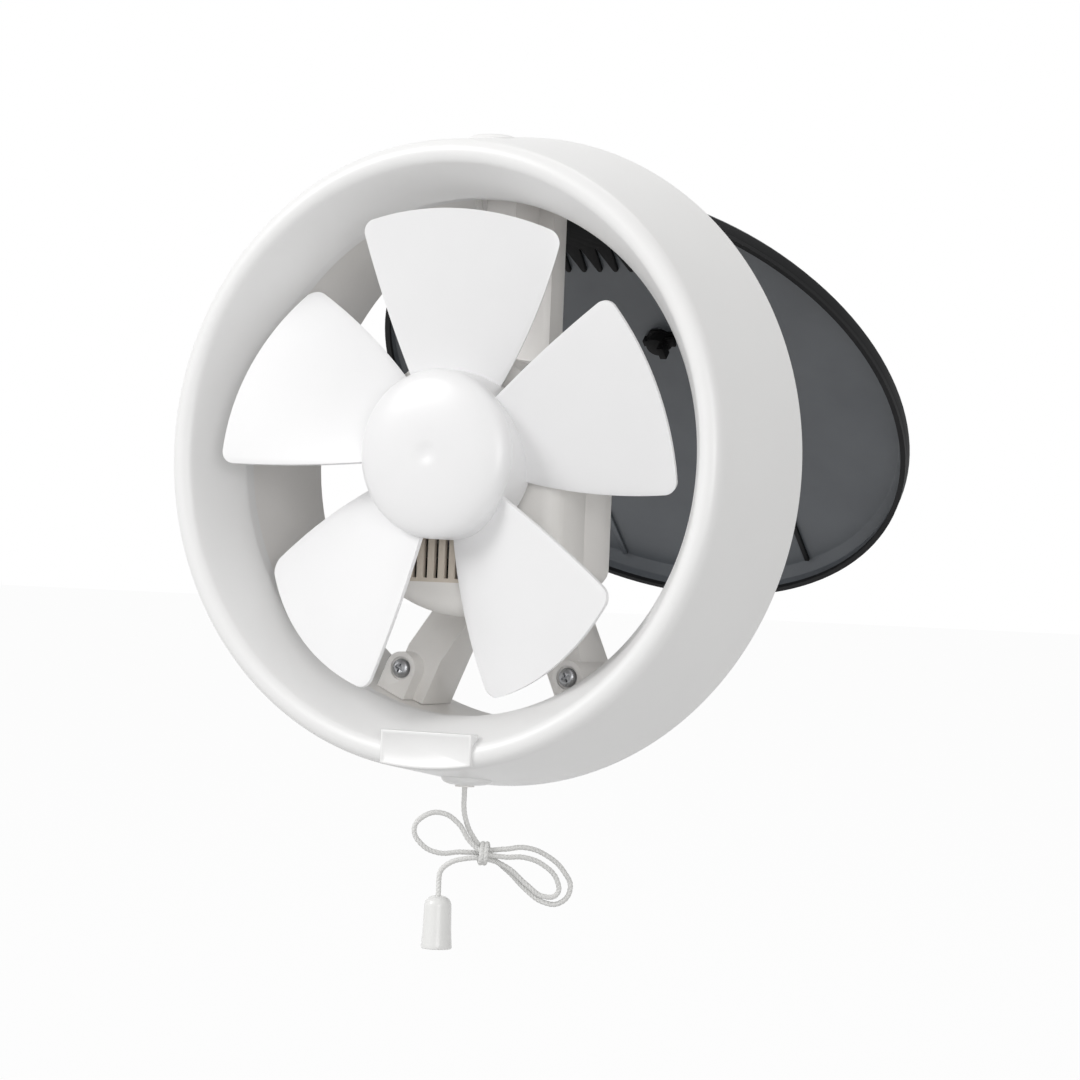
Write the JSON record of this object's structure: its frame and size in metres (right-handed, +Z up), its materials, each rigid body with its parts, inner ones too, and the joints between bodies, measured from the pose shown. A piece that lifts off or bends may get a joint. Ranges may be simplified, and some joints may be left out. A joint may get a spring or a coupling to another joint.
{
  "type": "wall exhaust fan",
  "caption": "Round white wall exhaust fan with five blades, a bell-mouthed front ring, a pull cord tied in a bow and a slate-grey rear shutter hinged open",
  "frame": {"origin": "on the fan's axis, in the wall's room-side surface plane, the middle of the circle of wall screws", "axes": "+Z up, +Y through the wall to the outside, +X to the right as seen from the room"},
  "size_m": [0.271, 0.2842, 0.3374],
  "materials": {
    "ring_white": "satin white ABS",
    "duct_white": "moulded white ABS",
    "blade_white": "smooth white",
    "cream_plastic": "fine matt cream",
    "slate_plastic": "fine-grained slate grey",
    "black_rubber": "smooth black rubber",
    "black_plastic": "matt black",
    "red_plastic": "moulded red",
    "knob_white": "glossy white",
    "cord_white": "braided white cord",
    "lead_white": "smooth vinyl",
    "grey_foam": "closed-cell foam",
    "steel": "zinc-plated",
    "core_steel": "stacked laminations",
    "copper_wire": "enamelled windings",
    "bronze": "sintered bronze"
  },
  "bodies": {
    "root": {"front_ring": "ring_white", "nameplate": "ring_white", "duct_body": "duct_white", "wall_gasket": "grey_foam", "rear_ring": "duct_white", "ring_screws": "steel", "motor_bracket": "duct_white", "bracket_screws": "steel", "motor_cover": "duct_white", "case_screws": "steel", "stator_core": "core_steel", "stator_coils": "copper_wire", "stator_screws": "steel", "front_bearing": "bronze", "rear_bearing": "bronze", "run_capacitor": "black_plastic", "terminal_block": "cream_plastic", "wiring_lead": "lead_white", "hinge_pin": "steel", "hinge_springs": "steel", "shutter_latch": "black_plastic", "switch_housing": "cream_plastic", "cam_pin": "steel", "return_spring": "steel", "cord_bush": "duct_white"},
    "rotor": {"rotor_core": "core_steel", "motor_shaft": "steel", "fan_blades": "blade_white", "drive_pin": "steel", "hub_washer": "steel", "spinner": "blade_white"},
    "shutter": {"shutter_disc": "slate_plastic", "shutter_seal": "black_rubber", "shutter_strips": "black_rubber", "hinge_plate": "black_plastic", "shutter_clip": "black_plastic"},
    "cord": {"cord_slider": "duct_white", "cord_inner": "cord_white", "pull_cord": "cord_white", "cord_knot": "cord_white", "cord_knob": "knob_white"},
    "cam": {"switch_cam": "red_plastic"}
  },
  "joints": [
    {"name": "impeller_spin", "type": "hinge", "parent": "root", "child": "rotor", "pos_m": [0, -0.05, 0], "axis": [0, -1, 0], "continuous": true},
    {"name": "shutter_hinge", "type": "hinge", "parent": "root", "child": "shutter", "pos_m": [0, 0.0394, 0.1254], "axis": [1, 0, 0], "range_deg": [-47, 0], "stiffness_Nm_per_rad": 0.2, "springref_deg": 57.3},
    {"name": "cord_pull", "type": "slide", "parent": "root", "child": "cord", "axis": [0, 0, -1], "range_m": [0, 0.008], "stiffness_N_per_m": 300, "springref_m": -0.004, "deforming": ["return_spring"]},
    {"name": "cam_turn", "type": "hinge", "parent": "root", "child": "cam", "pos_m": [0.0056, -0.023, -0.118], "axis": [0, 1, 0], "range_deg": [0, 90]}
  ],
  "couplings": [
    {"joint": "cam_turn", "follows": "cord_pull", "rad_per_m": 196.35}
  ]
}
